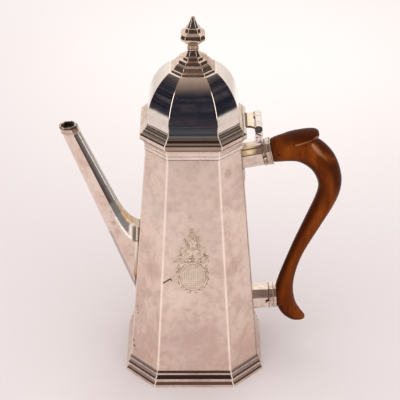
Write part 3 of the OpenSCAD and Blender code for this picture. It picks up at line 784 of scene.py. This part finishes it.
BROWNED = (0.42, 0.24, 0.17)
SPECK = (0.10, 0.07, 0.05)
BODY_SPOTS = [((-27, -29.6, 84.3), 11, 0.45, BROWNED), ((17, -36, 89), 9, 0.38, BROWNED),
              ((25, -31, 88), 9, 0.35, BROWNED), ((21.6, -26.4, 154.7), 4.5, 0.55, BROWNED),
              ((11.6, -30.8, 156.6), 3, 0.35, BROWNED), ((-2.2, -33.1, 127.2), 2, 0.35, BROWNED),
              ((4, -40.7, 30), 30, 0.30, (0.50, 0.34, 0.32)),
              ((-12, -37.9, 66), 16, 0.35, (0.86, 0.72, 0.60)),
              ((-26, -24.7, 131), 14, 0.24, (0.62, 0.56, 0.48)),
              ((-37.4, -24.1, 51.5), 0.9, 0.9, SPECK), ((-37.1, -24.7, 46.5), 0.9, 0.8, SPECK),
              ((-40.6, -24.5, 23.7), 1.5, 1.0, SPECK), ((-39.9, -25.1, 19.7), 1.5, 1.0, SPECK),
              ((-38.9, -26.3, 17.0), 1.1, 0.9, SPECK), ((-40.6, -24.9, 14.0), 0.9, 0.7, SPECK)]
# the body: painted highlights along its upright edges, painted shade lines along those next to the
# handle, and painted shade towards the foot
SATIN = silver("satin_silver", (0.87, 0.70, 0.60), (0.59, 0.43, 0.36), 0.36, 0.48,
               edge=1.35, edge_metal=0.25, far_edge=(0.20, 0.11, 0.07), dents=0.25, low=0.50,
               film=0.5, polished_ends=0.9, spots=BODY_SPOTS, dress=engraved)
PLAIN = silver("plain_silver", (0.84, 0.72, 0.64), (0.62, 0.49, 0.41), 0.26, 0.4)
SPOUT = silver("spout_silver", (0.88, 0.75, 0.66), (0.70, 0.52, 0.42), 0.10, 0.5, film=0.03,
               spots=[((-52.2, -8, 106.5), 2.6, 0.6, BROWNED), ((-49.8, -8, 99.4), 3, 0.5, BROWNED),
                      ((-41.4, -9, 81.9), 2, 0.4, BROWNED)], dress=painted_spout_reflections)
# painted highlights on the mitres, painted shade lines on those next to the handle, and painted
# dark reflections in the coves, darkest on the front facet
FOOT = silver("foot_silver", (0.82, 0.69, 0.61), (0.54, 0.38, 0.30), 0.14, 0.55, edge=0.7,
              edge_metal=0.3, far_edge=BROWN, film=0.03,
              bands=[Band(2.8, 3.8, (0.34, 0.25, 0.22), share=FOOT_THREE),
                     Band(7.0, 8.6, (0.34, 0.25, 0.23), share=FOOT_THREE),
                     Band(10.8, 11.6, (0.34, 0.25, 0.22), share=FOOT_THREE),
                     Band(2.0, 2.8, share=FOOT_THREE), Band(6.0, 7.0, share=FOOT_THREE),
                     Band(10.1, 10.8, (0.16, 0.11, 0.10), share=FOOT_THREE),
                     Band(2.1, 3.5, (0.105, 0.052, 0.036), share=FOOT_FRONT),
                     Band(6.1, 8.4, (0.030, 0.014, 0.011), share=FOOT_FRONT),
                     Band(10.1, 11.5, (0.075, 0.036, 0.022), share=FOOT_FRONT)])
# painted highlights on the mitres, a dark line under the bead, and painted shadow below the lid
RIM = silver("rim_silver", (0.88, 0.75, 0.66), (0.66, 0.50, 0.42), 0.22, 0.35, edge=1.2,
             edge_metal=0.5, film=0.3,
             bands=[Band(166.4, 167.15, (0.10, 0.045, 0.025)), Band(174.3, 176)])
# painted highlights on the mitres, painted shadow at the lid's lower edge, painted dark reflections
# in the coves, darkest on the front, and a painted shade line by the hinge flange
MOULDED = silver("moulded_silver", (0.84, 0.71, 0.62), (0.56, 0.40, 0.31), 0.12, 0.5,
                 edge=0.6, edge_metal=0.3, film=0.05,
                 bands=[Band(174, 175.5),
                        Band(175.6, 177.9, (0.30, 0.22, 0.165), 0.9, share=LID_FRONT),
                        Band(178.7, 180.0, (0.16, 0.12, 0.09), 0.9, share=LID_THREE),
                        Band(181.0, 182.6, (0.15, 0.115, 0.09), 0.9, share=LID_THREE),
                        Band(177.9, 178.7, (0.06, 0.03, 0.018), share=LID_THREE),
                        Band(179.5, 181.0, (0.035, 0.016, 0.010), share=LID_FRONT),
                        Band(181.5, 181.9, (0.06, 0.035, 0.025), share=LID_THREE),
                        Band(182.0, 183.5, (0.13, 0.11, 0.10), share=LID_FRONT),
                        Band(30.4, 31.3, (0.30, 0.22, 0.12), 0.7, way=SIDEWAYS)])
# painted highlights along the edges
BRIGHT = silver("bright_silver", (0.90, 0.83, 0.77), (0.66, 0.55, 0.47), 0.07, 0.22, edge=1.2)
# painted highlights along the mitres and a painted dark reflection across the front of the dome's
# foot
DOME = silver("dome_silver", (0.90, 0.83, 0.77), (0.66, 0.55, 0.47), 0.07, 0.22, edge=0.65,
              dents=0.3, bands=[Band(183.0, 188.9, (0.040, 0.043, 0.052), share=LID_FRONT)])
# crown and finial: painted highlights along the mitres
CROWN = silver("crown_silver", (0.84, 0.68, 0.57), (0.50, 0.33, 0.24), 0.14, 0.6, film=0.07,
               edge=0.6)
AGED = silver("aged_silver", (0.84, 0.68, 0.56), (0.44, 0.29, 0.20), 0.10, 0.6, film=0.05,
              edge=0.5,
              bands=[Band(229.2, 233.6, (0.22, 0.12, 0.07), 0.7)])
PIN = silver("pin_silver", (0.16, 0.12, 0.10), (0.10, 0.07, 0.05), 0.35, 0.6, film=0.6)
POST = silver("post_silver", (0.88, 0.80, 0.74), (0.64, 0.52, 0.44), 0.14, 0.4, dress=scrolled)
# painted shade along the plate's front edge, at the lid and in the crease by the knuckle
FLANGE = silver("flange_silver", (0.94, 0.82, 0.66), (0.72, 0.56, 0.38), 0.2, 0.5,
                bands=[Band(177, 178.55, (0.07, 0.045, 0.025)),
                       Band(32, 33.9, (0.16, 0.11, 0.05), way=SIDEWAYS),
                       Band(38, 39, (0.30, 0.22, 0.14), 0.7, way=SIDEWAYS)])
# a painted dark reflection across its near end
NEAR_KNUCKLE = silver("near_knuckle_silver", (0.90, 0.80, 0.74), (0.66, 0.54, 0.47), 0.2, 0.4,
                      bands=[Band(10.25, 11, (0.050, 0.042, 0.040), way=FORWARDS)])
UPPER_WAY, UPPER_UP = (0.978, 0, 0.208), (-0.208, 0, 0.978)
LOWER_WAY, LOWER_UP = (0.9986, 0, 0.052), (-0.052, 0, 0.9986)
UPPER_END, LOWER_END = (50.05, 0, 156.2), (55.5, 0, 43)
# the upper socket's spots: a painted highlight on its top face and chamfer, golden with a white
# middle
UPPER_SOCKET = silver("upper_socket_silver", (0.86, 0.73, 0.64), (0.60, 0.46, 0.36), 0.2, 0.5,
                      bands=[Band(3.3, 3.75, (0.10, 0.055, 0.02), 1, UPPER_UP, UPPER_END),
                             Band(6.2, 6.75, (0.20, 0.09, 0.02), 1, UPPER_UP, UPPER_END)],
                      spots=[((34.5, -5.5, 160.5), 7, 0.9, (1.0, 0.80, 0.48)),
                             ((33.5, -5.5, 160.5), 2.6, 1.0, (1.0, 0.95, 0.75))])
# the lower socket's spots: painted shade in a crescent round the lower pin
LOWER_SOCKET = silver("lower_socket_silver", (0.88, 0.76, 0.67), (0.62, 0.48, 0.40), 0.2, 0.5,
                      bands=[Band(3.15, 3.5, (0.08, 0.055, 0.04), 1, LOWER_UP, LOWER_END)],
                      spots=[((50.2, -7, 45.2), 1.3, 1, (0.03, 0.02, 0.012)),
                             ((48.5, -7, 43.6), 1.2, 1, (0.03, 0.02, 0.012)),
                             ((48.1, -7, 41.8), 0.9, 1, (0.12, 0.07, 0.04))])
UPPER_COLLAR = silver("upper_collar_silver", (0.88, 0.78, 0.70), (0.46, 0.34, 0.26), 0.14, 0.8,
                      bands=[Band(-4.5, -3.5, (0.22, 0.15, 0.10), 0.9, UPPER_WAY, UPPER_END),
                             Band(-6.0, -5.8, BROWN, 0.9, UPPER_WAY, UPPER_END),
                             Band(-0.95, -0.55, (0.20, 0.14, 0.10), 0.9, UPPER_WAY, UPPER_END)])
LOWER_COLLAR = silver("lower_collar_silver", (0.88, 0.76, 0.67), (0.50, 0.36, 0.28), 0.14, 0.7,
                      bands=[Band(-5.3, -4.8, (0.12, 0.08, 0.06), 1, LOWER_WAY, LOWER_END),
                             Band(-2.2, -1.9, (0.45, 0.35, 0.28), 1, LOWER_WAY, LOWER_END)],
                      spots=[((53.3, -7, 40.3), 2.0, 0.9, (0.20, 0.17, 0.14))])
UPPER_PIN = pin_end("upper_pin_silver", (45.2, 155.4))
LOWER_PIN = pin_end("lower_pin_silver", (49.7, 43))
WOOD = wood()

# node: (paint, rounding in mm, segments, rounding of mitres or ridges in mm)
FINISH = {
    "body_wall": (SATIN, 0, 1, 0.8),
    "base_plate": (PLAIN, 0.1, 2, 0),
    "foot_moulding": (FOOT, 0.12, 2, 0.3),
    "rim_moulding": (RIM, 0.12, 2, 0.3),
    "spout": (SPOUT, 0, 2, 1.1),
    "spout_lip": (MOULDED, 0.1, 2, 0),
    "upper_socket": (UPPER_SOCKET, 0.25, 2, 0),
    "upper_collar": (UPPER_COLLAR, 0.12, 2, 0),
    "upper_drop": (BRIGHT, 0, 1, 0),
    "lower_socket": (LOWER_SOCKET, 0.25, 2, 0),
    "lower_collar": (LOWER_COLLAR, 0.12, 2, 0),
    "upper_handle_pin": (UPPER_PIN, 0.3, 3, 0),
    "lower_handle_pin": (LOWER_PIN, 0.3, 3, 0),
    "handle": (WOOD, 0, 1, 0),
    "hinge_bracket": (POST, 0.2, 2, 0),
    "bracket_knuckle": (BRIGHT, 0.12, 2, 0),
    "hinge_pin": (PIN, 0.15, 2, 0),
    "hinge_flange": (FLANGE, 0.2, 2, 0),
    "near_knuckle": (NEAR_KNUCKLE, 0.25, 3, 0),
    "far_knuckle": (BRIGHT, 0.25, 3, 0),
    "lid_bezel": (PLAIN, 0.15, 2, 0),
    "lid_moulding": (MOULDED, 0.12, 2, 0.3),
    "lid_dome": (DOME, 0, 1, 0.45),
    "crown_plate": (CROWN, 0.15, 2, 0.3),
    "finial": (AGED, 0.12, 2, 0.3),
    "finial_nut": (PLAIN, 0.2, 2, 0),
}

for node, (paint, radius, segments, mitre) in FINISH.items():
    form = softened(node, radius, segments, mitre)
    made = piece("finished_" + node, form, BODY_OF[node], paint, [node])
    if node == "handle":
        carved(made)

view = bpy.context.scene.view_settings
view.view_transform = "Standard"
